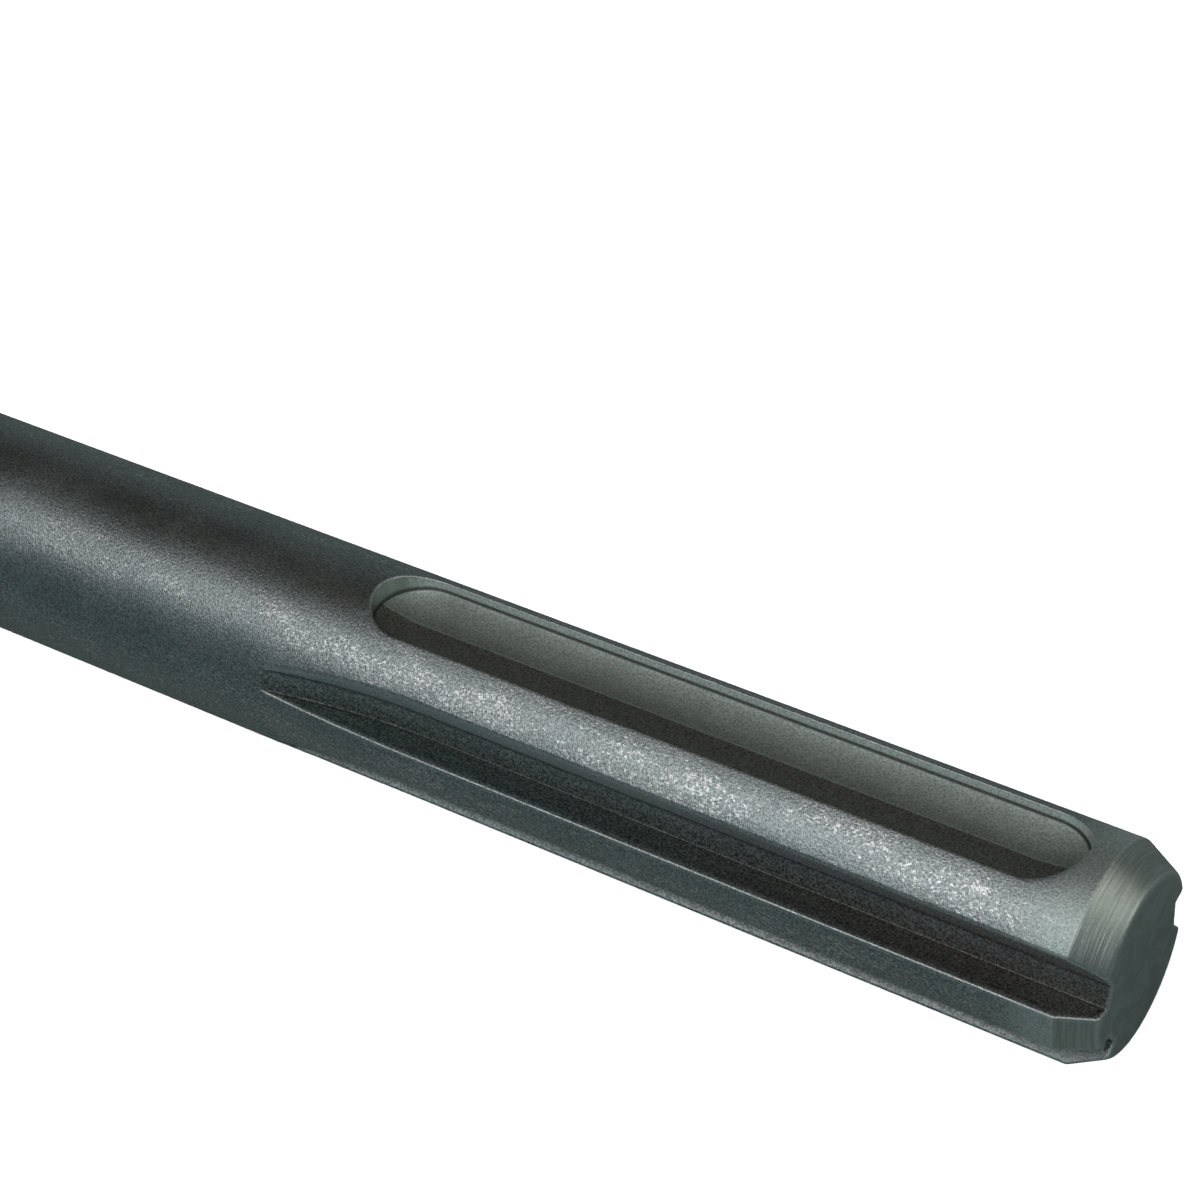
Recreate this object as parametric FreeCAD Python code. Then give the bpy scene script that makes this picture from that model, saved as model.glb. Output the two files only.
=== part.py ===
import FreeCAD, Part
import math
import os
from FreeCAD import Vector

# Flat chisel for a demolition hammer: one bar of tool steel, forged, turned, milled and ground.
# The frame: origin at the centre of the striking face, +X out of the shank end, +Z up. The tool
# runs from the striking face towards -X. It is drawn with its upper locking groove on top and its
# blade level, then rolled to lie as it comes to rest, on its round bar and one side of its blade.
# Lengths are in millimetres and angles in degrees. "Along" is measured from the striking face.

# Round bar
shank_diameter = 18.0
overall_length = 400.0

# Chamfer round the striking face
chamfer_length = 3.0
chamfer_depth = 1.6
chamfer_corner_radius = 0.5

# Locking grooves: two closed slots, opposite each other, cut with a shallow pointed end mill
locking_groove_width = 8.1
locking_groove_start = 5.05
locking_groove_length = 63.9
locking_groove_depth = 2.55
locking_floor_rise = 0.65

# Driving grooves: open slots, cut from the striking face with a profiled disc cutter. Two lie
# side by side with a rib between them, and one lies opposite. For each, before the roll: the
# angle of its radial flank from +Z towards +Y, the width of its floor, the lean of its far flank.
driving_grooves = ((-140.0, 1.9, 38.0),
                   (-85.3, 1.9, 38.0),
                   (73.2, 2.35, 50.0))
driving_groove_depth = 3.1
driving_flank_lead = 12.5
driving_full_depth_length = 60.2
driving_cutter_radius = 40.0

# Forged blade: a blank of oval section, pressed flat between dies and ground to an edge.
# The bulge height is the oval's full height, which the dies flatten to the blade's thickness.
forging_length = 104.0
blade_width = 25.0
blade_flare_length = 80.0
blade_flare_steps = 6
blade_neck_thickness = 8.6
blade_tip_thickness = 5.6
die_entry_radius = 130.0
blade_bulge_height = 12.2
bevel_length = 5.0
edge_thickness = 0.5

# How far a cutting tool reaches past the surface that it cuts
clear_of_surface = 3.0

# Fineness of the points on the blade's skin, among which is the one that meets the floor
skin_fineness = 0.01

shank_radius = shank_diameter / 2
forging_start = overall_length - forging_length


def across(angle, tangential, outward):
    """Point in the plane of the striking face. The angle runs from +Z towards +Y."""
    turn = math.radians(angle)
    along_y = outward * math.sin(turn) + tangential * math.cos(turn)
    along_z = outward * math.cos(turn) - tangential * math.sin(turn)
    return Vector(0, along_y, along_z)


def face_of(corners, radii=()):
    """Flat face through the corners. The radii, by the corner's number, ease it with a tangent arc."""
    radii = dict(radii)
    stops = []
    arcs = []
    for number, corner in enumerate(corners):
        radius = radii.get(number, 0)
        if not radius:
            stops.append((corner, corner))
            continue
        back = (corners[number - 1] - corner).normalize()
        ahead = (corners[(number + 1) % len(corners)] - corner).normalize()
        half_turn = (math.pi - back.getAngle(ahead)) / 2
        reach = radius * math.tan(half_turn)
        sink = radius / math.cos(half_turn) - radius
        first = corner + back * reach
        last = corner + ahead * reach
        middle = corner + (back + ahead).normalize() * sink
        arcs.append(Part.Arc(first, middle, last).toShape())
        stops.append((first, last))
    sides = [Part.makeLine(stops[number - 1][1], stop[0]) for number, stop in enumerate(stops)]
    return Part.Face(Part.Wire(Part.__sortEdges__(sides + arcs)))


def round_bar():
    """Turned bar: its lower half outline spun about the X axis, with the chamfer's corners eased."""
    outline = [Vector(0, 0, 0),
               Vector(0, 0, chamfer_depth - shank_radius),
               Vector(-chamfer_length, 0, -shank_radius),
               Vector(-forging_start, 0, -shank_radius),
               Vector(-forging_start, 0, 0)]
    eased = {1: chamfer_corner_radius, 2: chamfer_corner_radius}
    return face_of(outline, eased).revolve(Vector(0, 0, 0), Vector(1, 0, 0), 360)


def locking_cutter():
    """Space swept by a pointed end mill that plunges at one end of the slot and runs to the other."""
    mill_radius = locking_groove_width / 2
    first_centre = locking_groove_start + mill_radius
    last_centre = locking_groove_start + locking_groove_length - mill_radius
    tip = shank_radius - locking_groove_depth
    shoulder = tip + locking_floor_rise
    top = shank_radius + clear_of_surface
    half = [Vector(0, 0, tip), Vector(0, mill_radius, shoulder), Vector(0, mill_radius, top), Vector(0, 0, top)]
    mill = face_of(half).revolve(Vector(0, 0, 0), Vector(0, 0, 1), 360)
    section = half[:3] + [Vector(0, -mill_radius, top), Vector(0, -mill_radius, shoulder)]
    channel = face_of(section).extrude(Vector(first_centre - last_centre, 0, 0))
    channel.translate(Vector(-first_centre, 0, 0))
    ends = []
    for centre in (first_centre, last_centre):
        end = mill.copy()
        end.translate(Vector(-centre, 0, 0))
        ends.append(end)
    return channel.fuse(ends)


def driving_cutter(flank_angle, floor_width, opening_angle):
    """Space swept by the disc cutter: straight along the bar, then its own curve out of it.

    The leading flank is radial and takes the turning load. The floor is square to a line that
    lies driving_flank_lead further round, and the far flank leans outwards.
    """
    floor_angle = flank_angle + driving_flank_lead
    floor = shank_radius - driving_groove_depth
    top = shank_radius + clear_of_surface
    lead = math.tan(math.radians(driving_flank_lead))
    lean = math.tan(math.radians(opening_angle))
    floor_end = floor_width - floor * lead
    corners = [(-floor * lead, floor),
               (floor_end, floor),
               (floor_end + (top - floor) * lean, top),
               (-top * lead, top)]
    section = face_of([across(floor_angle, *corner) for corner in corners])
    section.translate(Vector(-driving_full_depth_length, 0, 0))
    straight = section.extrude(Vector(driving_full_depth_length + clear_of_surface, 0, 0))
    hub = across(floor_angle, 0, floor + driving_cutter_radius)
    hub.x = -driving_full_depth_length
    axle = across(floor_angle, 1, 0)
    exit_height = driving_cutter_radius - driving_groove_depth - clear_of_surface
    exit_turn = math.degrees(math.acos(exit_height / driving_cutter_radius))
    run_out = section.revolve(hub, axle, exit_turn)
    return straight, run_out


def blade_blank():
    """Forged blank: ovals that widen and sink smoothly from the round bar."""
    sections = [(forging_start, 0.0)]
    for step in range(1, blade_flare_steps + 1):
        share = step / blade_flare_steps
        widening = share * share * (3 - 2 * share)
        sections.append((forging_start + share * blade_flare_length, widening))
    sections.append((overall_length, 1.0))
    wires = []
    for along, widening in sections:
        half_width = shank_radius + widening * (blade_width / 2 - shank_radius)
        half_height = shank_radius + widening * (blade_bulge_height / 2 - shank_radius)
        centre = Vector(-along, 0, 0)
        oval = Part.Ellipse(centre + Vector(0, half_width, 0), centre + Vector(0, 0, half_height), centre)
        wires.append(Part.Wire(oval.toShape()))
    return Part.makeLoft(wires, True, False)


def die_gap():
    """Space left between the closed dies, as a side view extruded across the blade."""
    half_neck = blade_neck_thickness / 2
    half_tip = blade_tip_thickness / 2
    open_height = shank_radius + clear_of_surface

    def entry_reach(height):
        """How far before the neck the entry arc has opened to this height."""
        rise = height - half_neck
        return math.sqrt(rise * (2 * die_entry_radius - rise))

    neck = forging_start + entry_reach(shank_radius)
    mouth = neck - entry_reach(open_height)
    half_turn = math.asin((neck - mouth) / die_entry_radius) / 2
    middle = neck - die_entry_radius * math.sin(half_turn)
    middle_height = half_neck + die_entry_radius * (1 - math.cos(half_turn))

    def at(along, height):
        return Vector(-along, -blade_width, height)

    sides = []
    for up in (1, -1):
        arc = Part.Arc(at(mouth, up * open_height), at(middle, up * middle_height), at(neck, up * half_neck))
        sides.append(arc.toShape())
        sides.append(Part.makeLine(at(neck, up * half_neck), at(overall_length, up * half_tip)))
    sides.append(Part.makeLine(at(mouth, open_height), at(mouth, -open_height)))
    sides.append(Part.makeLine(at(overall_length, half_tip), at(overall_length, -half_tip)))
    outline = Part.Wire(Part.__sortEdges__(sides))
    return Part.Face(outline).extrude(Vector(0, 2 * blade_width, 0))


def grinding_wedges():
    """Metal ground away above and below the cutting edge."""
    start = overall_length - bevel_length
    half_tip = blade_tip_thickness / 2
    half_edge = edge_thickness / 2
    slope = (half_tip - half_edge) / bevel_length
    wedges = []
    for up in (1, -1):
        outline = [Vector(-start + clear_of_surface, -blade_width, up * (half_tip + slope * clear_of_surface)),
                   Vector(-overall_length - clear_of_surface, -blade_width, up * (half_edge - slope * clear_of_surface)),
                   Vector(-overall_length - clear_of_surface, -blade_width, up * 2 * shank_radius),
                   Vector(-start + clear_of_surface, -blade_width, up * 2 * shank_radius)]
        wedges.append(face_of(outline).extrude(Vector(0, 2 * blade_width, 0)))
    return wedges


def turn_about_bar(shape, angle):
    """Turns the shape about the bar, from +Z towards +Y."""
    shape.rotate(Vector(0, 0, 0), Vector(1, 0, 0), -angle)


def resting_roll(blade):
    """Least roll that brings the blade's side down to the floor under the round bar, in degrees."""
    rolls = []
    for point in blade.tessellate(skin_fineness)[0]:
        reach = math.hypot(point.y, point.z)
        if reach > shank_radius + skin_fineness:
            below_level = math.atan2(abs(point.z), abs(point.y))
            rolls.append(math.asin(shank_radius / reach) - below_level)
    return math.degrees(min(rolls, default=0))


def chisel():
    """The whole tool as one solid. The bar is round, so only its blade and its grooves are rolled."""
    blade = blade_blank().common(die_gap()).cut(grinding_wedges())
    roll = resting_roll(blade)
    upper_locking = locking_cutter()
    lower_locking = upper_locking.copy()
    turn_about_bar(lower_locking, 180)
    cutters = [upper_locking, lower_locking]
    for flank_angle, floor_width, opening_angle in driving_grooves:
        cutters.extend(driving_cutter(flank_angle, floor_width, opening_angle))
    turn_about_bar(blade, roll)
    body = round_bar().fuse(blade)
    for cutter in cutters:
        turn_about_bar(cutter, roll)
        body = body.cut(cutter)
    return body.removeSplitter()


tool = chisel()
solid = tool.Solids[0]
print("solids", len(tool.Solids), "valid", solid.isValid(), "volume mm3", round(solid.Volume, 1))
os.makedirs("parts", exist_ok=True)
solid.exportStep("parts/chisel.step")
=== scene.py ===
import math

import bpy
import numpy as np
from mathutils import Matrix


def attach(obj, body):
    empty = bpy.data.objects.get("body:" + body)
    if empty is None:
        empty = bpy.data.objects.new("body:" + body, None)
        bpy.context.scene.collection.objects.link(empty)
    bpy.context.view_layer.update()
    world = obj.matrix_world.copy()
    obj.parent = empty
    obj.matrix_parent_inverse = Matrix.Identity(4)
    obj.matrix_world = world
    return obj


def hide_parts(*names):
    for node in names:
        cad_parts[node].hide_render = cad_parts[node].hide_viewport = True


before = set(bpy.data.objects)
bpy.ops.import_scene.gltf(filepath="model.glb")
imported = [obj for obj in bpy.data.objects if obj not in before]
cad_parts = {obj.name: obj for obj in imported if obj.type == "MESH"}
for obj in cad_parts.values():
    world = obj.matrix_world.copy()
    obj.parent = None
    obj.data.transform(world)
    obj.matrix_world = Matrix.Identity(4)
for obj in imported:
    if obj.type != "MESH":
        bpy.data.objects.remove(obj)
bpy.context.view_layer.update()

# ==== The chisel ==================================================================================
# One bar of hardened tool steel: turned, milled with three driving and two locking grooves, forged
# flat at its far end and ground to an edge. Its skin is one closed grid of rings along the bar and
# lines around it, whose lines follow every edge that the cutters left.

# Lengths are in millimetres until the mesh is made. A place is given as along, from the striking
# face towards the blade, y and z. Before the tool is rolled to rest, z points to the middle of the
# upper locking groove. Angles run from z towards y.


def larger(first, second, ease):
    """The larger of two heights, bulged by up to a quarter of ease where they are nearly equal."""
    near = np.clip(1 - np.abs(first - second) / ease, 0, 1)
    return np.maximum(first, second) + near * near * ease / 4


def smaller(first, second, ease):
    """The smaller of two heights, eased in the same way."""
    return -larger(-first, -second, ease)


def unit(vectors):
    """The vectors, whose parts lie along the first axis, each divided by its length."""
    return vectors / np.linalg.norm(vectors, axis=0)


# The turned bar and the chamfer round its striking face.
LENGTH = 400.0
BAR = 9.0
FACE_RADIUS = 7.4
CHAMFER = 3.0
CHAMFER_BREAK = 0.06
FACE_BREAK = 0.29


def turned_radius(along):
    """Radius of the turned bar: a cone over the chamfer's length, then the full bar."""
    return np.minimum(FACE_RADIUS + (BAR - FACE_RADIUS) * along / CHAMFER, BAR)


# The blade: an oval that spreads from the round bar, pressed between two dies and ground.
FORGED = 296.0
FLARE = 80.0
BLADE_HALF_WIDTH = 12.5
BLADE_HALF_BULGE = 6.1
DIE_ARC = 130.0
DIE_REACH = 90.0
DIE_BREAK = 1.3
NECK = 330.64
NECK_HALF = 4.3
TIP_HALF = 2.8
BEVEL = 5.0
EDGE_HALF = 0.25
GROUND_BREAK = 0.12


def blade_size(along):
    """Half width, half height and die gap: the round bar spreads to an oval as a smooth step over
    the flare, while the dies close on an arc to the neck and then taper evenly to the tip."""
    share = np.clip((along - FORGED) / FLARE, 0, 1)
    flared = share * share * (3 - 2 * share)
    before = np.clip(NECK - along, 0, DIE_REACH)
    gap = NECK_HALF + DIE_ARC - np.sqrt(DIE_ARC ** 2 - before ** 2)
    gap = gap - (NECK_HALF - TIP_HALF) * np.clip(along - NECK, 0, None) / (LENGTH - NECK)
    return BAR + (BLADE_HALF_WIDTH - BAR) * flared, BAR + (BLADE_HALF_BULGE - BAR) * flared, gap


def outer_skin(along, y, z):
    """Height above the turned, forged and ground surfaces: the greatest of the heights above the
    oval, the chamfer's cone, the striking face, the dies, the bevels and the cutting edge."""
    wide, high, gap = blade_size(along)
    scale = np.hypot(y / wide, z / high) + 1e-9
    height = (scale - 1) * scale / (np.hypot(y / wide ** 2, z / high ** 2) + 1e-9)
    slope = (BAR - FACE_RADIUS) / CHAMFER
    cone = (np.hypot(y, z) - FACE_RADIUS - slope * along) / math.hypot(1, slope)
    height = larger(height, cone, CHAMFER_BREAK)
    height = larger(height, -along, FACE_BREAK)
    height = larger(height, np.abs(z) - gap, DIE_BREAK)
    grind = (TIP_HALF - EDGE_HALF) / BEVEL
    bevel = (np.abs(z) - EDGE_HALF - grind * (LENGTH - along)) / math.hypot(1, grind)
    height = larger(height, bevel, GROUND_BREAK)
    return larger(height, along - LENGTH, GROUND_BREAK)


# The three driving grooves, cut from the striking face by a disc with the groove's section. Each
# has a radial flank that takes the turning load, a flat floor, and a far flank that leans out.
# For each: the angle of its floor's square, the floor's width, and the leaning flank's slope.
GROOVE_FLOOR = 5.9
GROOVE_LEAD = math.radians(12.5)
GROOVE_STRAIGHT = 60.2
GROOVE_END = 75.5
SETTLING = 8.5
GROOVE_BREAK = 0.14
DISC = 40.0
DISC_REACH = DISC * 0.9
HUB = GROOVE_FLOOR + DISC
OUTER = (math.radians(-127.5), 1.9, math.tan(math.radians(38.0)))
INNER = (math.radians(-72.8), 1.9, math.tan(math.radians(38.0)))
SINGLE = (math.radians(85.7), 2.35, math.tan(math.radians(50.0)))
FLOOR_START = -GROOVE_FLOOR * math.tan(GROOVE_LEAD)


def groove_lift(along, height):
    """Height in the cutter's own section: past the straight part the section swings about the
    hub of the disc, so a point's distance from the hub takes the place of its height."""
    past = np.clip(along - GROOVE_STRAIGHT, 0, DISC_REACH)
    return HUB - np.sqrt(past ** 2 + (HUB - height) ** 2)


def groove_place(along, y, z, groove):
    """A point in a driving groove's section: its height square to the floor, its distance across,
    and its distance from the leaning flank, a plane from the floor's far end."""
    angle, floor_width, lean = groove
    across = y * math.cos(angle) - z * math.sin(angle)
    lift = groove_lift(along, y * math.sin(angle) + z * math.cos(angle))
    leaning = (floor_width + FLOOR_START + (lift - GROOVE_FLOOR) * lean - across) / math.hypot(1, lean)
    return lift, across, leaning


def driving_depth(along, y, z, groove):
    """Depth inside a driving groove: the least of the distances to its floor and its two flanks."""
    lift, across, leaning = groove_place(along, y, z, groove)
    radial = across * math.cos(GROOVE_LEAD) + lift * math.sin(GROOVE_LEAD)
    return smaller(smaller(lift - GROOVE_FLOOR, radial, GROOVE_BREAK), leaning, GROOVE_BREAK)


def flute_depth(along, y, z):
    """Depth inside the deepest of the three driving grooves."""
    return np.maximum.reduce([driving_depth(along, y, z, groove) for groove in (OUTER, INNER, SINGLE)])


# The two locking grooves: closed slots, opposite each other, cut by an end mill whose shallow
# point leaves a floor that rises from the centre line to the walls.
LOCK_CENTRES = (9.1, 64.9)
LOCK_RADIUS = 4.05
LOCK_TIP = 6.38
LOCK_RISE = 0.80
LOCK_BREAK = 0.12


def locking_floor(share):
    """Height of a locking groove's floor: a rise by the share of the way to the wall, part even
    and part growing with its square."""
    return LOCK_TIP + LOCK_RISE * share * (0.3 + 0.7 * share)


def locking_depth(along, y, z):
    """Depth inside a locking groove: the lesser of the distance to the wall, at a fixed distance
    from the slot's centre line, and the height above the floor."""
    beyond = along - np.clip(along, *LOCK_CENTRES)
    reach = np.hypot(beyond, y)
    share = (np.hypot(reach, LOCK_BREAK) - LOCK_BREAK) / LOCK_RADIUS
    return smaller(LOCK_RADIUS - reach, z - locking_floor(share), LOCK_BREAK)


def slot_depth(along, y, z):
    """Depth inside the deeper of the two locking grooves."""
    return np.maximum(locking_depth(along, y, z), locking_depth(along, -y, -z))


# The whole skin, and the rings and lines of its grid.
GROOVE_EDGE_BREAK = 0.22


def skin(along, y, z):
    """Height above the steel: the outer skin or the inside of a groove, whichever is higher,
    with the edge between them broken by a narrow blast-worn rounding."""
    cuts = np.maximum(slot_depth(along, y, z), flute_depth(along, y, z))
    return larger(outer_skin(along, y, z), cuts, GROOVE_EDGE_BREAK)


# Stops across a locking groove, from its centre line outwards: distance, share of the wall's
# height, how far the steel is felt for outwards instead of down, pull to the plain grid, and the
# width that the stop has there.
PLAIN_FROM = 4.2
LAND_REACH = 5.6
WALL_WIDTH = 0.6
floor_stops = np.append(np.linspace(0, 3.6, 13), (3.8, 3.93))
wall_stops = np.array((0, 0.2, 0.5, 0.8, 1.0))
land_stops = np.array((4.11, PLAIN_FROM, 4.35, 4.6, 5.0, LAND_REACH))
stop_reach = np.concatenate((floor_stops, np.full(5, LOCK_RADIUS), land_stops))
stop_climb = np.concatenate((np.zeros(15), wall_stops, np.ones(6)))
stop_tilt = np.radians(np.concatenate((np.zeros(13), (12, 30), (45, 55, 60, 55, 45), (28, 12, 4, 0, 0, 0))))
stop_plain = np.clip((stop_reach - PLAIN_FROM) / (LAND_REACH - PLAIN_FROM), 0, 1)
stop_width = (stop_reach + WALL_WIDTH * stop_climb) * LAND_REACH / (LAND_REACH + WALL_WIDTH)
LAST = len(stop_reach) - 1
LAND_ANGLE = math.asin(LAND_REACH / BAR)

# Rings along the bar. Those round a locking groove's ends count off its stops, and elsewhere the
# stop is the last, which lies on the land, or between the ends nought.
chamfer_rings = [0, 0.06, 0.15, 0.3, 0.6, 1.0, 1.5, 2.0, 2.5, 2.8, 2.93, 3.0, 3.07, 3.2]
first_end = [LOCK_CENTRES[0] - width for width in stop_width[::-1]]
between = list(np.linspace(LOCK_CENTRES[0], GROOVE_STRAIGHT, 24)[1:]) + [60.8, 61.5, 62.3, 63.1, 64.0]
last_end = [LOCK_CENTRES[1] + width for width in stop_width]
run_out = list(np.arange(70.8, 77.0, 0.24)) + [77.5, 78.5, 80, 82, 84]
shank_along = np.array(chamfer_rings + first_end + between + last_end + run_out)[:, None]
shank_stop = np.concatenate((np.full(len(chamfer_rings), LAST), np.arange(LAST, -1, -1),
                             np.zeros(len(between), int), np.arange(LAST + 1),
                             np.full(len(run_out), LAST)))[:, None]
bar_rings = list(np.linspace(89, FORGED, 36))
forged_rings = list(np.linspace(FORGED, 394.0, 84)[1:]) + [394.5, 394.8, 394.93, 395, 395.07, 395.25]
edge_rings = [396, 397, 398, 399, 399.6, 399.8, 399.9, 399.94]
front_along = np.array(bar_rings + forged_rings + edge_rings)[:, None]


def groove_keys(groove):
    """Distances across a driving groove of its four edges on every ring. The upper two lie where
    the flanks meet the turned surface, found by a few rounds of putting one into the other. Past
    the groove's end they go back, as a smooth step, to where they lie behind the chamfer."""
    _, floor_width, lean = groove
    end = floor_width + FLOOR_START
    near = np.full_like(shank_along, FLOOR_START)
    far = np.full_like(shank_along, end)
    radius = turned_radius(shank_along)
    for step in range(12):
        near_lift = np.maximum(groove_lift(shank_along, np.sqrt(radius ** 2 - near ** 2)) - GROOVE_FLOOR, 0)
        far_lift = np.maximum(groove_lift(shank_along, np.sqrt(radius ** 2 - far ** 2)) - GROOVE_FLOOR, 0)
        near = FLOOR_START - np.maximum(near_lift * math.tan(GROOVE_LEAD), 0.3)
        far = 0.5 * far + 0.5 * (end + np.maximum(far_lift * lean, 0.4))
    settle = np.clip((shank_along - GROOVE_END) / SETTLING, 0, 1)
    settle = settle * settle * (3 - 2 * settle)
    near = near + (near[len(chamfer_rings)] - near) * settle
    far = far + (far[len(chamfer_rings)] - far) * settle
    return near, np.full_like(shank_along, FLOOR_START), np.full_like(shank_along, end), far


def driving_lines(groove):
    """Lines down a driving groove: they divide its two flanks and its floor, with more of them by
    each corner. Each lies on the cutter's section or the turned bar, the lower of both."""
    angle, floor_width, lean = groove
    keys = groove_keys(groove)
    flank = np.array((0, 0.08, 0.22, 0.42, 0.62, 0.82, 0.93))
    floor = np.array((0, 0.05, 0.13, 0.27, 0.42, 0.58, 0.73, 0.87, 0.95))
    slope = np.append(floor, 1)
    parts = []
    for low, high, shares in zip(keys, keys[1:], (flank, floor, slope)):
        parts.append(low + (high - low) * shares)
    across = np.hstack(parts)
    lift = np.maximum(np.maximum(-across / math.tan(GROOVE_LEAD), GROOVE_FLOOR),
                      GROOVE_FLOOR + (across - floor_width - FLOOR_START) / lean)
    past = np.clip(shank_along - GROOVE_STRAIGHT, 0, DISC_REACH)
    section = HUB - np.sqrt(np.maximum((HUB - lift) ** 2 - past ** 2, 0))
    height = np.minimum(section, np.sqrt(turned_radius(shank_along) ** 2 - across ** 2))
    y = height * math.sin(angle) + across * math.cos(angle)
    z = height * math.cos(angle) - across * math.sin(angle)
    inward = np.full_like(across, angle)
    edges = [angle + np.arcsin(key / turned_radius(shank_along)) for key in (keys[0], keys[3])]
    return (np.broadcast_to(shank_along, y.shape), y, z), (0 * y, -np.sin(inward), -np.cos(inward)), edges


def land_lines(first, last, count, lean_first, lean_last):
    """Lines on the turned surface between two angles, closer together by their ends, as a cosine
    of an even count gives. The way into the steel turns evenly from one angle to the other."""
    share = 0.5 - 0.5 * np.cos(np.linspace(0, math.pi, count + 2)[1:-1])
    angle = first + (last - first) * share
    lean = lean_first + (lean_last - lean_first) * share + 0 * shank_along
    radius = turned_radius(shank_along)
    y = radius * np.sin(angle)
    return (np.broadcast_to(shank_along, y.shape), y, radius * np.cos(angle)), (0 * y, -np.sin(lean), -np.cos(lean))


def locking_lines(side):
    """Lines across a locking groove. By its rounded ends a square of lines and rings is pulled
    onto circles about the end's centre: the stop is the greater of the line's and the ring's, and
    the direction turns evenly with the ratio of the two. Away from the slot the plain grid returns."""
    line = np.arange(-LAST, LAST + 1)[None, :]
    flip = np.sign(line)
    own = stop_width[np.abs(line)]
    ring = stop_width[shank_stop]
    stop = np.maximum(np.abs(line), shank_stop)
    least, most = np.minimum(own, ring), np.maximum(np.maximum(own, ring), 1e-9)
    turn = least / most * math.pi / 4
    turn = np.where(own >= ring, turn, math.pi / 2 - turn)
    centre = np.clip(shank_along, *LOCK_CENTRES)
    forward = np.where(shank_along < sum(LOCK_CENTRES) / 2, -1.0, 1.0)
    reach = stop_reach[stop]
    plain = stop_plain[stop]
    place = (1 - plain) * (centre + forward * reach * np.sin(turn)) + plain * shank_along
    radius = turned_radius(place)
    sideways = (1 - plain) * reach * np.cos(turn) + plain * own * radius / BAR
    surface = np.sqrt(radius ** 2 - sideways ** 2)
    floor = locking_floor(reach / LOCK_RADIUS)
    height = np.where(reach > LOCK_RADIUS, surface, floor + stop_climb[stop] * (surface - floor))
    tilt = stop_tilt[stop]
    onto = np.where(reach > LOCK_RADIUS, np.arcsin(sideways / radius), 0)
    ahead = np.sin(tilt) * np.sin(turn) * forward
    aside = np.sin(tilt) * np.cos(turn) - np.cos(tilt) * np.sin(onto)
    down = -np.cos(tilt) * np.cos(onto)
    return (place, side * flip * sideways, side * height), (ahead, side * flip * aside, side * down)


def grooved_shank():
    """Points on the plain-edged shank and the way into the steel at each, all round the bar: the
    lines of the five grooves and of the lands between them, side by side."""
    outer, inner, single = (driving_lines(groove) for groove in (OUTER, INNER, SINGLE))
    low, high = -math.pi + LAND_ANGLE, math.pi - LAND_ANGLE
    strips = [
        land_lines(low, outer[2][0], 1, low, OUTER[0]), outer,
        land_lines(outer[2][1], inner[2][0], 12, OUTER[0], INNER[0]), inner,
        land_lines(inner[2][1], -LAND_ANGLE, 8, INNER[0], -LAND_ANGLE), locking_lines(1),
        land_lines(LAND_ANGLE, single[2][0], 12, LAND_ANGLE, SINGLE[0]), single,
        land_lines(single[2][1], high, 12, SINGLE[0], high), locking_lines(-1)]
    points = [np.hstack([strip[0][axis] for strip in strips]) for axis in range(3)]
    inward = [np.hstack([strip[1][axis] for strip in strips]) for axis in range(3)]
    return np.stack(points), np.stack(inward)


def feel_for(points, inward, reach):
    """Moves each point along its way in, by up to its reach either way, to where the skin's height
    is nought. It is found by halving."""
    low = np.full(points.shape[1:], -reach)
    high = np.full(points.shape[1:], reach)
    for step in range(26):
        middle = (low + high) / 2
        outside = skin(*(points + inward * middle)) > 0
        low = np.where(outside, middle, low)
        high = np.where(outside, high, middle)
    return points + inward * (low + high) / 2


# By the striking face's rim the way in swings back along the bar, over the first 0.4 mm.
along_axis = np.array((1.0, 0, 0))
shank, inward = grooved_shank()
rim = np.clip(1 - shank_along / 0.4, 0, 1) * math.pi / 4
inward = unit(inward * np.cos(rim) + along_axis[:, None, None] * np.sin(rim))
shank_skin = feel_for(shank, inward, 0.6)

# In front of the grooves the lines keep their angles, and the skin is felt for from the middle of
# the blade outwards.
angles = np.arctan2(shank[1, -1], shank[2, -1])
rest = front_along + 0 * angles
wide, high, gap = blade_size(rest)
outside = np.stack((rest, wide * 1.02 * np.sin(angles), high * 1.02 * np.cos(angles)))
core = np.stack((rest, (wide - np.minimum(gap, high)) * np.sin(angles), 0 * rest))
front_skin = feel_for(core, unit(core - outside), np.linalg.norm(core - outside, axis=0) + 0.4)

# The striking face and the cutting edge are closed by rings that shrink to one point.
face_rings = []
for share in (0, 0.25, 0.5, 0.7, 0.84, 0.92, 0.96, 0.985):
    ring = shank[:, 0] * np.array((1.0, share, share))[:, None]
    face_rings.append(feel_for(ring, along_axis[:, None] + 0 * ring, 0.6))
tip_rings = []
for wide_share, high_share in ((0.99, 0.8), (0.97, 0.5), (0.94, 0.2), (0, 0)):
    ring = front_skin[:, -1] * np.array((1.0, wide_share, high_share))[:, None]
    ring[0] = LENGTH
    tip_rings.append(feel_for(ring, 0 * ring - along_axis[:, None], 0.3))
grid = np.concatenate((np.stack(face_rings, 1), shank_skin, front_skin, np.stack(tip_rings, 1)), axis=1)


def steps(size):
    """The three steps of one size along the axes."""
    return size * np.eye(3)[:, :, None, None]


def gradient(field, points):
    """Steepest way up of a field at the points, from its values a hundredth of a millimetre off."""
    return unit(np.stack([field(*(points + step)) - field(*(points - step)) for step in steps(0.01)]) + 1e-12)


def bend(points):
    """How sharply the skin turns, per millimetre: the sum of the field's second differences over
    0.15 mm steps. It is above nought on outer edges and below nought in inner corners."""
    total = np.zeros(points.shape[1:])
    for step in steps(0.15):
        total += skin(*(points + step)) + skin(*(points - step)) - 2 * skin(*points)
    return total / 0.15 ** 2


# The tool lies on its round bar and one side of its blade, which rolls it about its own axis.
REST_ROLL = math.radians(37.3406)


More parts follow.
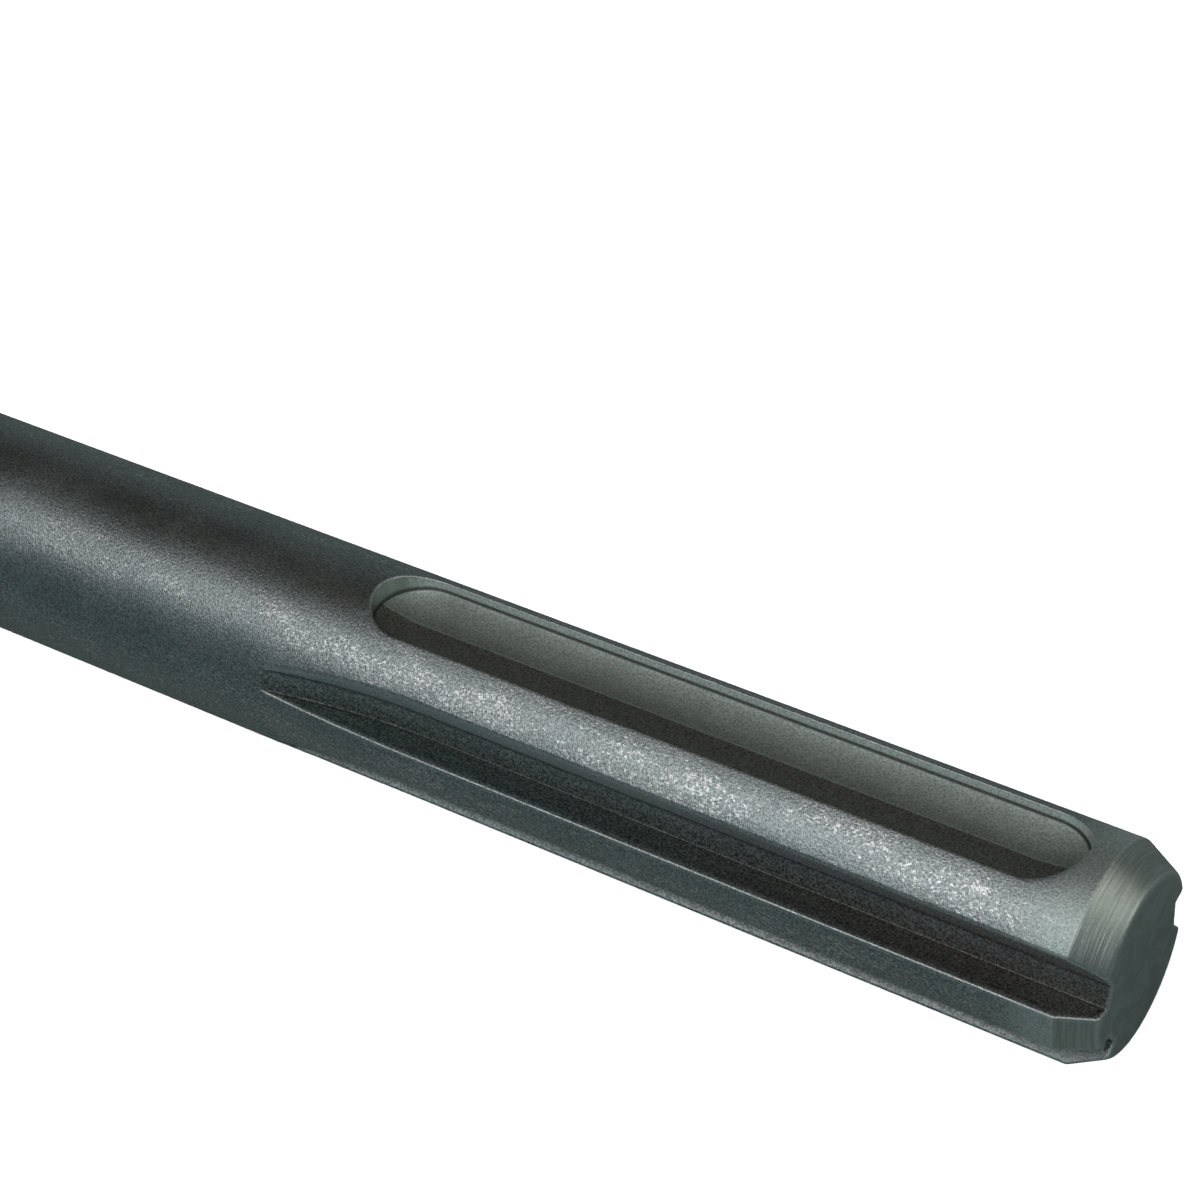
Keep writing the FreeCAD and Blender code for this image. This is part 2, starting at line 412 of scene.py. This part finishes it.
def rolled(y, z):
    """A place or direction across the bar, turned from z towards y by the roll."""
    return y * math.cos(REST_ROLL) + z * math.sin(REST_ROLL), z * math.cos(REST_ROLL) - y * math.sin(REST_ROLL)


def in_frame(points):
    """The points as rows in the frame, where the blade lies towards -X."""
    along, y, z = points.reshape(3, -1)
    return np.stack((-along, *rolled(y, z)), axis=1)


# The first and the last ring are single points, so the faces that meet there are triangles.
normals = gradient(skin, grid)
rings, lines = grid.shape[1:]
kept = np.r_[0, lines:(rings - 1) * lines + 1]
number = np.clip(np.arange(rings * lines) - lines + 1, 0, len(kept) - 1).reshape(rings, lines)
here, ahead = number[:-1], number[1:]
quads = np.stack((here, np.roll(here, -1, axis=1), np.roll(ahead, -1, axis=1), ahead), axis=-1).reshape(-1, 4)
faces = quads[:lines, [0, 2, 3]].tolist() + quads[lines:-lines].tolist() + quads[-lines:, :3].tolist()
mesh = bpy.data.meshes.new("chisel_skin")
mesh.from_pydata((in_frame(grid)[kept] * 0.001).tolist(), [], faces)
mesh.update()
mesh.normals_split_custom_set_from_vertices(in_frame(normals)[kept].tolist())


def ease(low, high, value):
    """Nought at low, one at high, and a smooth step between."""
    share = np.clip((value - low) / (high - low), 0, 1)
    return share * share * (3 - 2 * share)


# Where each finish lies, and where light and shade are painted, worked out on the same grid and
# kept as attributes of its points.
leaning = 0
leaning_side_light = 0
for groove in (OUTER, INNER, SINGLE):
    angle, _, lean = groove
    within = driving_depth(*grid, groove) > -0.3
    facing = angle - math.pi / 2 + math.atan(lean)
    leaning = leaning + within * ease(0.8, 0.95, normals[1] * math.sin(facing) + normals[2] * math.cos(facing))
    # Painted light: the floor of each driving groove is marked lighter within 1.3 mm of its leaning flank.
    leaning_side_light = leaning_side_light + within * ease(1.3, 0.1, groove_place(*grid, groove)[2])
leaning = np.clip(leaning, 0, 1)
turning = bend(grid)
into_face = -normals[0]
faced = ease(0.7, 0.9, into_face)
in_slot = ease(0, 0.12, slot_depth(*grid) - outer_skin(*grid))
in_flute = ease(0, 0.12, flute_depth(*grid) - outer_skin(*grid))
in_outer = ease(-0.3, -0.1, driving_depth(*grid, OUTER))
finish_and_light_masks = {
    "slotted": in_slot,
    "slot_across": grid[1] * np.sign(grid[2]),
    "leaning_side_light": leaning_side_light,
    "leaning": leaning * in_flute,
    # The fluted mask carries painted shade: it darkens the driving grooves, half as much in the outer one and little
    # on the leaning flank.
    "fluted": in_flute * (1 - faced) * (1 - 0.5 * in_outer) * (1 - 0.9 * leaning),
    "edge": ease(0.5, 2.4, turning),
    "corner": ease(-0.8, -3.2, turning),
    "turned": ease(0.30, 0.42, into_face) * (grid[0] < 4) * (1 - faced),
    "faced": faced,
    "forged": ease(FORGED - 8, NECK, grid[0]),
    "ground": ease(0.2, 0.4, -into_face) * (grid[0] > 390),
}
for name, value in finish_and_light_masks.items():
    mesh.attributes.new(name, "FLOAT", "POINT").data.foreach_set("value", value.reshape(-1)[kept].astype(np.float32))


def feed(tree, socket, value):
    """Gives a socket a value, or links it to the output that feeds it."""
    if hasattr(value, "is_linked"):
        tree.links.new(value, socket)
    else:
        socket.default_value = value


def add(tree, kind, settings=None, **inputs):
    """A shader node with its settings. Its inputs go by name, or by number after an underscore."""
    made = tree.nodes.new("ShaderNode" + kind)
    for name, value in (settings or {}).items():
        setattr(made, name, value)
    for name, value in inputs.items():
        feed(tree, made.inputs[int(name[1:]) if name[1:].isdigit() else name.replace("_", " ")], value)
    return made


def sums(tree, operation, first, second=0.0):
    """The outcome of one operation on two values, such as ADD."""
    return add(tree, "Math", {"operation": operation}, _0=first, _1=second).outputs[0]


def product(tree, first, *others):
    """The values multiplied together."""
    for other in others:
        first = sums(tree, "MULTIPLY", first, other)
    return first


def tint(tree, share, first, second):
    """The first colour, or the second by its share."""
    return add(tree, "Mix", {"data_type": "RGBA"}, _0=share, _6=first, _7=second).outputs[2]


def level(tree, share, first, second):
    """The first value, or the second by its share."""
    return add(tree, "Mix", {"data_type": "FLOAT"}, _0=share, _2=first, _3=second).outputs[0]


def spread(tree, value, low, high, out_low=0.0, out_high=1.0):
    """A smooth step of a value, from one level at low to another at high."""
    return add(tree, "MapRange", {"interpolation_type": "SMOOTHSTEP"}, Value=value, From_Min=low, From_Max=high,
               To_Min=out_low, To_Max=out_high).outputs[0]


def stretched(tree, place, by):
    """The place, multiplied along each axis."""
    return add(tree, "VectorMath", {"operation": "MULTIPLY"}, _0=place, _1=by).outputs[0]


def new_effect(name, inputs, outputs):
    """An empty group of nodes with named inputs and outputs: its tree, its place and its ends."""
    tree = bpy.data.node_groups.new(name, "ShaderNodeTree")
    for way, sockets in (("INPUT", inputs), ("OUTPUT", outputs)):
        for socket, kind in sockets.items():
            tree.interface.new_socket(socket, in_out=way, socket_type="NodeSocket" + kind)
    return tree, tree.nodes.new("NodeGroupInput").outputs, tree.nodes.new("NodeGroupOutput").inputs


def use(tree, effect, **inputs):
    """A group of nodes, placed in a material with its own values."""
    made = tree.nodes.new("ShaderNodeGroup")
    made.node_tree = effect
    for name, value in inputs.items():
        feed(tree, made.inputs[name], value)
    return made.outputs


# Shot blasting leaves a skin of tiny dents. Their rims catch the light as flecks, which lie in
# long drifts where the bar was rubbed.
blasting, given, gives = new_effect(
    "blasting", {"Place": "Vector"}, {"Height": "Float", "Fleck": "Float", "Cloud": "Float"})
fine = add(blasting, "TexNoise", Vector=given["Place"], Scale=5600.0, Detail=2.0, Roughness=0.8)
dents = add(blasting, "TexVoronoi", {"feature": "F1"}, Vector=given["Place"], Scale=4200.0)
slow = add(blasting, "TexNoise", Vector=given["Place"], Scale=140.0, Detail=5.0, Roughness=0.65)
drift = add(blasting, "TexNoise", Vector=stretched(blasting, given["Place"], (0.3, 1.0, 1.0)),
            Scale=420.0, Detail=3.0, Roughness=0.7)
specks = add(blasting, "TexNoise", Vector=stretched(blasting, given["Place"], (0.6, 1.0, 1.0)),
             Scale=4600.0, Detail=2.0, Roughness=0.7)
pitted = product(blasting, dents.outputs["Distance"], 0.22)
crowd = spread(blasting, drift.outputs["Fac"], 0.42, 0.62, -0.09, 0.05)
fleck = spread(blasting, sums(blasting, "ADD", specks.outputs["Fac"], crowd), 0.545, 0.62)
feed(blasting, gives["Height"], sums(blasting, "ADD", fine.outputs["Fac"], pitted))
feed(blasting, gives["Fleck"], fleck)
feed(blasting, gives["Cloud"], slow.outputs["Fac"])

# A cutting edge leaves fine lines: noise squeezed hard across them and drawn out along them.
tool_lines, given, gives = new_effect(
    "tool_lines", {"Place": "Vector", "Squeeze": "Vector"}, {"Height": "Float", "Shade": "Float"})
drawn = stretched(tool_lines, given["Place"], given["Squeeze"])
marks = add(tool_lines, "TexNoise", Vector=drawn, Scale=1.0, Detail=3.0, Roughness=0.6).outputs["Fac"]
feed(tool_lines, gives["Height"], marks)
feed(tool_lines, gives["Shade"], spread(tool_lines, marks, 0.35, 0.65))

# Colours of the finishes and of the painted light and shade, each from its darker to its lighter grain.
BLASTED = (0.50, 0.56, 0.56, 1), (0.60, 0.665, 0.66, 1)
FLECK = (1.0, 1.0, 1.0, 1)
DENT = (0.14, 0.155, 0.155, 1)
FORGING_SKIN = (0.27, 0.295, 0.29, 1)
RUBBED = (0.65, 0.755, 0.715, 1), (0.90, 1.0, 0.965, 1)
MILLED_MIDDLE, MILLED_LIT_SIDE = (0.64, 0.715, 0.675, 1), (0.92, 1.0, 0.965, 1)
MILLED_DENT = (0.20, 0.21, 0.20, 1)
SLOT_SHADE = (0.09, 0.083, 0.074, 1), (0.30, 0.28, 0.255, 1)
FLUTE_SHADE_GREEN = (0.045, 0.058, 0.052, 1), (0.30, 0.35, 0.325, 1)
FLUTE_SHADE_BROWN = (0.060, 0.052, 0.048, 1), (0.34, 0.32, 0.305, 1)
LIT_FLOOR_GREEN = (0.15, 0.185, 0.178, 1), (0.47, 0.545, 0.535, 1)
LIT_FLOOR_BROWN = (0.13, 0.125, 0.120, 1), (0.42, 0.425, 0.415, 1)
LIT_FLANK_GREEN = (0.52, 0.59, 0.595, 1), (0.84, 0.92, 0.93, 1)
LIT_FLANK_BROWN = (0.24, 0.235, 0.23, 1), (0.60, 0.605, 0.595, 1)
TURNED = (0.42, 0.47, 0.44, 1), (0.66, 0.71, 0.68, 1)
FACED = (0.37, 0.43, 0.405, 1), (0.55, 0.62, 0.59, 1)
GROUND = (0.62, 0.65, 0.65, 1), (0.95, 0.97, 0.97, 1)
WORN_EDGE_HIGHLIGHT = (0.85, 0.89, 0.89, 1)
CORNER_SHADE = (0.05, 0.052, 0.05, 1)

steel = bpy.data.materials.new("blasted_tool_steel")
steel.use_nodes = True
tree = steel.node_tree
surface = tree.nodes["Principled BSDF"]
place = add(tree, "TexCoord").outputs["Object"]
along_tool = add(tree, "SeparateXYZ", _0=place).outputs["X"]
mask = {name: add(tree, "Attribute", {"attribute_name": name}).outputs["Fac"] for name in finish_and_light_masks}
grain = use(tree, blasting, Place=place)
ring_lines = use(tree, tool_lines, Place=place, Squeeze=(7000.0, 220.0, 220.0))
face_lines = use(tree, tool_lines, Place=place, Squeeze=(200.0, 700.0, 5200.0))
groove_lines = use(tree, tool_lines, Place=place, Squeeze=(160.0, 2600.0, 2600.0))
speckled = spread(tree, grain["Height"], 0.42, 0.78)
dented = sums(tree, "SUBTRACT", 1.0, speckled)

# The blasted bar: clouds, flecks that thin out away from the shank, dents, the dull skin of the
# forging, and the end of the land, which the machine's holder rubs bright.
near_shank = spread(tree, along_tool, -0.14, -0.045, 0.35, 0.9)
scaly = product(tree, mask["forged"], spread(tree, grain["Cloud"], 0.42, 0.60, 0.0, 0.5))
rubbed = spread(tree, along_tool, -0.0085, -0.0040, 0.0, 0.7)
colour = tint(tree, spread(tree, grain["Cloud"], 0.32, 0.68), *BLASTED)
colour = tint(tree, product(tree, grain["Fleck"], near_shank), colour, FLECK)
colour = tint(tree, product(tree, dented, 0.74), colour, DENT)
colour = tint(tree, scaly, colour, FORGING_SKIN)
colour = tint(tree, rubbed, colour, tint(tree, speckled, *RUBBED))

# The locking grooves: bare milled steel, painted lighter towards one wall, with painted shade over
# the other half of the floor and thinly up to its ridge, which is left free as a thin painted highlight.
milled = tint(tree, spread(tree, mask["slot_across"], 0.2, 3.6), MILLED_MIDDLE, MILLED_LIT_SIDE)
milled = tint(tree, product(tree, dented, 0.5), milled, MILLED_DENT)
# Painted shade over one half of the slot floor, thinly over the middle of the other half, less on the ridge.
shaded_half = spread(tree, mask["slot_across"], 0.08, -0.10)
thinly_shaded_half = spread(tree, mask["slot_across"], 1.9, 0.1, 0.0, 0.34)
lit_ridge = spread(tree, sums(tree, "ABSOLUTE", mask["slot_across"]), 0.17, 0.03, 0.0, 0.35)
painted_slot_shade = sums(tree, "SUBTRACT", sums(tree, "MAXIMUM", shaded_half, thinly_shaded_half), lit_ridge)
colour = tint(tree, product(tree, mask["slotted"], 0.95), colour, milled)
colour = tint(tree, product(tree, mask["slotted"], painted_slot_shade, 0.88), colour, tint(tree, speckled, *SLOT_SHADE))

# The driving grooves: gritty and darkened by painted shade. Painted light makes each floor lighter by
# the leaning flank and makes the leaning flank itself lighter than the bar. They are browner towards
# the striking face.
gritty = spread(tree, grain["Height"], 0.50, 0.74)
streaked = level(tree, 0.15, gritty, groove_lines["Shade"])
browned = spread(tree, along_tool, -0.060, -0.008)
shaded_flute = []
flank = []
for side in (0, 1):
    shaded_flute.append(tint(tree, mask["leaning_side_light"], tint(tree, browned, FLUTE_SHADE_GREEN[side], FLUTE_SHADE_BROWN[side]),
                      tint(tree, browned, LIT_FLOOR_GREEN[side], LIT_FLOOR_BROWN[side])))
    flank.append(tint(tree, browned, LIT_FLANK_GREEN[side], LIT_FLANK_BROWN[side]))
colour = tint(tree, product(tree, mask["fluted"], 0.92), colour, tint(tree, streaked, *shaded_flute))
# Painted light: the leaning flank gets a colour lighter than the bar's, for the light it catches.
colour = tint(tree, mask["leaning"], colour, tint(tree, gritty, *flank))

# The turned chamfer, the faced end with its smudges, and the ground bevels.
smudge = add(tree, "TexNoise", Vector=place, Scale=330.0, Detail=4.0, Roughness=0.65, Distortion=1.2)
smudged = level(tree, 0.6, face_lines["Shade"], spread(tree, smudge.outputs["Fac"], 0.36, 0.66))
colour = tint(tree, mask["turned"], colour,
              tint(tree, level(tree, 0.35, ring_lines["Shade"], speckled), *TURNED))
colour = tint(tree, mask["faced"], colour, tint(tree, smudged, *FACED))
colour = tint(tree, mask["ground"], colour, tint(tree, groove_lines["Shade"], *GROUND))

# Edges are worn bright in spots, which also paints a highlight along them, and the inner corners get
# painted shade.
wear_and_highlight = product(tree, mask["edge"], spread(tree, grain["Height"], 0.45, 0.85, 0.25, 0.8))
painted_corner_shade = product(tree, mask["corner"], level(tree, mask["fluted"], 0.9, 0.45))
colour = tint(tree, wear_and_highlight, colour, WORN_EDGE_HIGHLIGHT)
colour = tint(tree, painted_corner_shade, colour, CORNER_SHADE)
feed(tree, surface.inputs["Base Color"], colour)

rough = level(tree, grain["Fleck"], 0.41, 0.30)
for share, value in ((rubbed, 0.64), (mask["slotted"], 0.56), (mask["fluted"], 0.50), (mask["leaning"], 0.75),
                     (scaly, 0.62), (mask["turned"], 0.36), (mask["faced"], 0.42),
                     (mask["ground"], level(tree, groove_lines["Shade"], 0.46, 0.30))):
    rough = level(tree, share, rough, value)
rough = sums(tree, "ADD", rough, spread(tree, grain["Cloud"], 0.3, 0.7, -0.03, 0.03))
feed(tree, surface.inputs["Roughness"], rough)
surface.inputs["Metallic"].default_value = 1.0

depth = level(tree, mask["turned"], grain["Height"], product(tree, ring_lines["Height"], 0.6))
depth = level(tree, mask["faced"], depth, product(tree, face_lines["Height"], 0.4))
depth = level(tree, mask["ground"], depth, groove_lines["Height"])
bump = add(tree, "Bump", Height=depth, Strength=1.0, Distance=0.00003)
feed(tree, surface.inputs["Normal"], bump.outputs["Normal"])

mesh.materials.append(steel)
chisel = bpy.data.objects.new("chisel_body", mesh)
bpy.context.scene.collection.objects.link(chisel)
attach(chisel, "root")
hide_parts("chisel")

# ==== The floor ===================================================================================
# A card of white paper, which the tool lies on. It is plain white to the eye, and darker where the
# steel mirrors it, as the shaded side of a lit table is.
FLOOR_LEVEL = -0.009
CARD_HALF = 3
PAPER = (0.86, 0.86, 0.86, 1)
PAPER_IN_STEEL = (0.045, 0.054, 0.053, 1)

card_mesh = bpy.data.meshes.new("floor_card")
card_mesh.from_pydata([(x * CARD_HALF, y * CARD_HALF, FLOOR_LEVEL) for x, y in ((-1, -1), (1, -1), (1, 1), (-1, 1))],
                      [], [(0, 1, 2, 3)])
card = bpy.data.objects.new("floor_card", card_mesh)
bpy.context.scene.collection.objects.link(card)
paper = bpy.data.materials.new("white_card")
paper.use_nodes = True
tree = paper.node_tree
tree.nodes.clear()
mirrored = add(tree, "LightPath").outputs["Is Glossy Ray"]
white = add(tree, "BsdfDiffuse", Color=PAPER)
grey = add(tree, "BsdfDiffuse", Color=PAPER_IN_STEEL)
either = add(tree, "MixShader", _0=mirrored, _1=white.outputs[0], _2=grey.outputs[0])
add(tree, "OutputMaterial", Surface=either.outputs[0])
card_mesh.materials.append(paper)

# ==== The studio ==================================================================================
# A room that is white to the eye and lights the card, but is dim where the steel mirrors it: cool
# on the camera's side, brown behind, with one bright screen beyond the striking face.
ROOM_COOL = (0.071, 0.095, 0.100, 1)
ROOM_BROWN = (0.036, 0.031, 0.027, 1)
SCREEN = (0.80, 0.835, 0.785, 1)
ROOM_WHITE = (1.0, 1.0, 1.0, 1)
ROOM_ON_CARD = (2.4, 2.4, 2.4, 1)

room = bpy.data.worlds.new("studio")
room.use_nodes = True
room.cycles.sampling_method = "NONE"
tree = room.node_tree
tree.nodes.clear()
way = add(tree, "SeparateXYZ", _0=add(tree, "TexCoord").outputs["Generated"]).outputs
mirrored = tint(tree, spread(tree, way["Y"], -0.2, 0.45), ROOM_COOL, ROOM_BROWN)
screen = product(tree, spread(tree, way["X"], 0.25, 0.6), spread(tree, way["Y"], 0.05, 0.6),
                 spread(tree, way["Z"], -0.05, 0.3))
mirrored = tint(tree, screen, mirrored, SCREEN)
rays = add(tree, "LightPath").outputs
glow = tint(tree, rays["Is Diffuse Ray"], ROOM_WHITE, ROOM_ON_CARD)
glow = tint(tree, rays["Is Glossy Ray"], glow, mirrored)
add(tree, "OutputWorld", Surface=add(tree, "Background", Color=glow, Strength=1.0).outputs[0])
bpy.context.scene.world = room
bpy.context.scene.view_settings.view_transform = "Standard"


def standing(axes, spot):
    """The matrix of a thing at a spot, whose three axes point the given ways."""
    return Matrix([[axis[row] for axis in axes] + [spot[row]] for row in range(3)] + [[0, 0, 0, 1]])


# One long soft lamp hangs overhead, a little behind the tool, aimed past its striking end.
LAMP_SPOT = np.array((-0.085, -0.02, 0.78))
LAMP_LEAN = (0.06, 0, 0)
lamp_data = bpy.data.lights.new("soft_box", "AREA")
lamp_data.shape = "RECTANGLE"
lamp_data.size = 1.02
lamp_data.size_y = 0.48
lamp_data.energy = 2.1
lamp = bpy.data.objects.new("soft_box", lamp_data)
bpy.context.scene.collection.objects.link(lamp)
back = unit(LAMP_SPOT + LAMP_LEAN)
right = unit(np.cross((0, 1.0, 0), back))
lamp.matrix_world = standing((right, np.cross(back, right), back), LAMP_SPOT)

# The camera stands above the striking face, where the photograph was taken from. Its right, up and
# back ways and its spot were found before the tool was rolled, so they are rolled with it.
CAMERA = ((0.84192, 0.539, -0.024), (-0.30721, 0.5155, 0.800), (0.44363, -0.666, 0.600), (0.0594, -0.1602, 0.1600))
lens = bpy.data.cameras.new("camera")
lens.lens = 92.67
lens.sensor_width = 36
lens.clip_start = 0.01
camera = bpy.data.objects.new("camera", lens)
bpy.context.scene.collection.objects.link(camera)
*axes, spot = [(x, *rolled(y, z)) for x, y, z in CAMERA]
camera.matrix_world = standing(axes, spot)
bpy.context.scene.camera = camera
